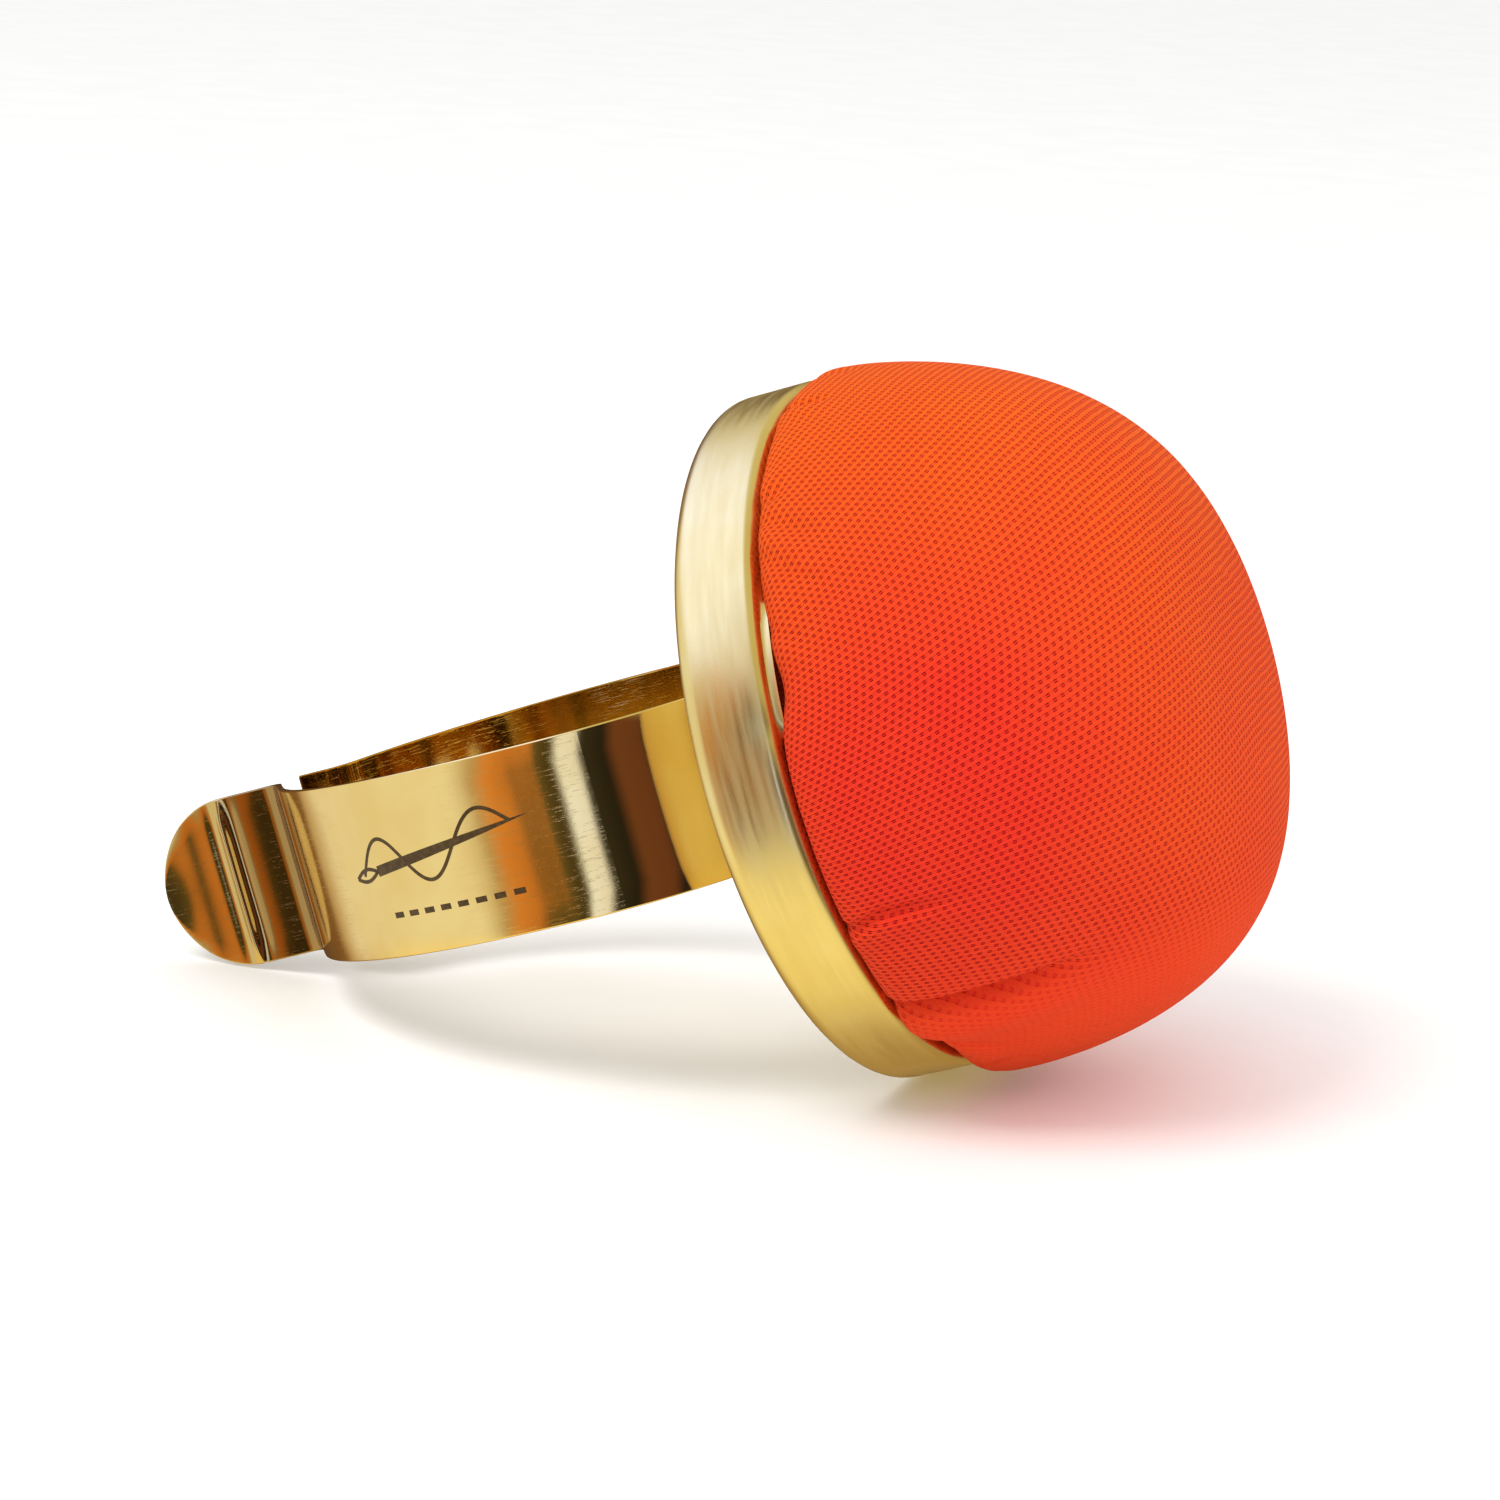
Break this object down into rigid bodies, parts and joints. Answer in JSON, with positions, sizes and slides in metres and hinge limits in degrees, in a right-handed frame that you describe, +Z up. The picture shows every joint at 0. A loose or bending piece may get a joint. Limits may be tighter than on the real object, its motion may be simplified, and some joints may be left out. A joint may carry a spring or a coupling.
{
  "type": "wrist pin cushion",
  "caption": "Domed knit-covered pin cushion in a shallow crimped brass cup, riveted to a polished gold spring band that clips round the wrist.",
  "frame": {"origin": "on the table, under the middle of the resting object's outer box", "axes": "+X from the band's tab towards the pad, level; +Y across the band towards the arm with the plain end; +Z up from the table. The pad's own axis leans 19.7 degrees up from +X."},
  "size_m": [0.0926, 0.0552, 0.0548],
  "materials": {
    "gold_spring_steel": "polished",
    "satin_brass": "satin",
    "rivet_brass": "satin",
    "orange_knit": "matte",
    "white_fibre": "matte",
    "grey_board": "matte",
    "set_glue": "satin",
    "red_thread": "matte"
  },
  "bodies": {
    "root": {"band_base": "gold_spring_steel", "cup": "satin_brass", "rivet_near": "rivet_brass", "rivet_far": "rivet_brass", "glue_pad": "set_glue", "backing_disc": "grey_board", "cushion_filling": "white_fibre", "cushion_cover": "orange_knit", "gathering_thread": "red_thread"},
    "near_arm_inner": {"near_arm_inner": "gold_spring_steel"},
    "near_arm_middle": {"near_arm_middle": "gold_spring_steel"},
    "near_arm_outer": {"near_arm_outer": "gold_spring_steel"},
    "far_arm_inner": {"far_arm_inner": "gold_spring_steel"},
    "far_arm_middle": {"far_arm_middle": "gold_spring_steel"},
    "far_arm_outer": {"far_arm_outer": "gold_spring_steel"}
  },
  "joints": [
    {"name": "near_root_flex", "type": "hinge", "parent": "root", "child": "near_arm_inner", "pos_m": [-0.00314, -0.02113, 0.01999], "axis": [-0.3377, 0, 0.9413], "range_deg": [-1, 13], "stiffness_Nm_per_rad": 3},
    {"name": "near_middle_flex", "type": "hinge", "parent": "near_arm_inner", "child": "near_arm_middle", "pos_m": [-0.01605, -0.01887, 0.01536], "axis": [-0.3377, 0, 0.9413], "range_deg": [-1, 13]},
    {"name": "near_outer_flex", "type": "hinge", "parent": "near_arm_middle", "child": "near_arm_outer", "pos_m": [-0.02621, -0.01178, 0.01172], "axis": [-0.3377, 0, 0.9413], "range_deg": [-1, 13]},
    {"name": "far_root_flex", "type": "hinge", "parent": "root", "child": "far_arm_inner", "pos_m": [-0.00314, 0.02087, 0.01999], "axis": [0.3377, 0, -0.9413], "range_deg": [-1, 13], "stiffness_Nm_per_rad": 3},
    {"name": "far_middle_flex", "type": "hinge", "parent": "far_arm_inner", "child": "far_arm_middle", "pos_m": [-0.01434, 0.01987, 0.01597], "axis": [0.3377, 0, -0.9413], "range_deg": [-1, 13]},
    {"name": "far_outer_flex", "type": "hinge", "parent": "far_arm_middle", "child": "far_arm_outer", "pos_m": [-0.02388, 0.01367, 0.01255], "axis": [0.3377, 0, -0.9413], "range_deg": [-1, 13]}
  ],
  "couplings": [
    {"joint": "near_middle_flex", "follows": "near_root_flex", "ratio": 1},
    {"joint": "near_outer_flex", "follows": "near_root_flex", "ratio": 1},
    {"joint": "far_middle_flex", "follows": "far_root_flex", "ratio": 1},
    {"joint": "far_outer_flex", "follows": "far_root_flex", "ratio": 1}
  ]
}
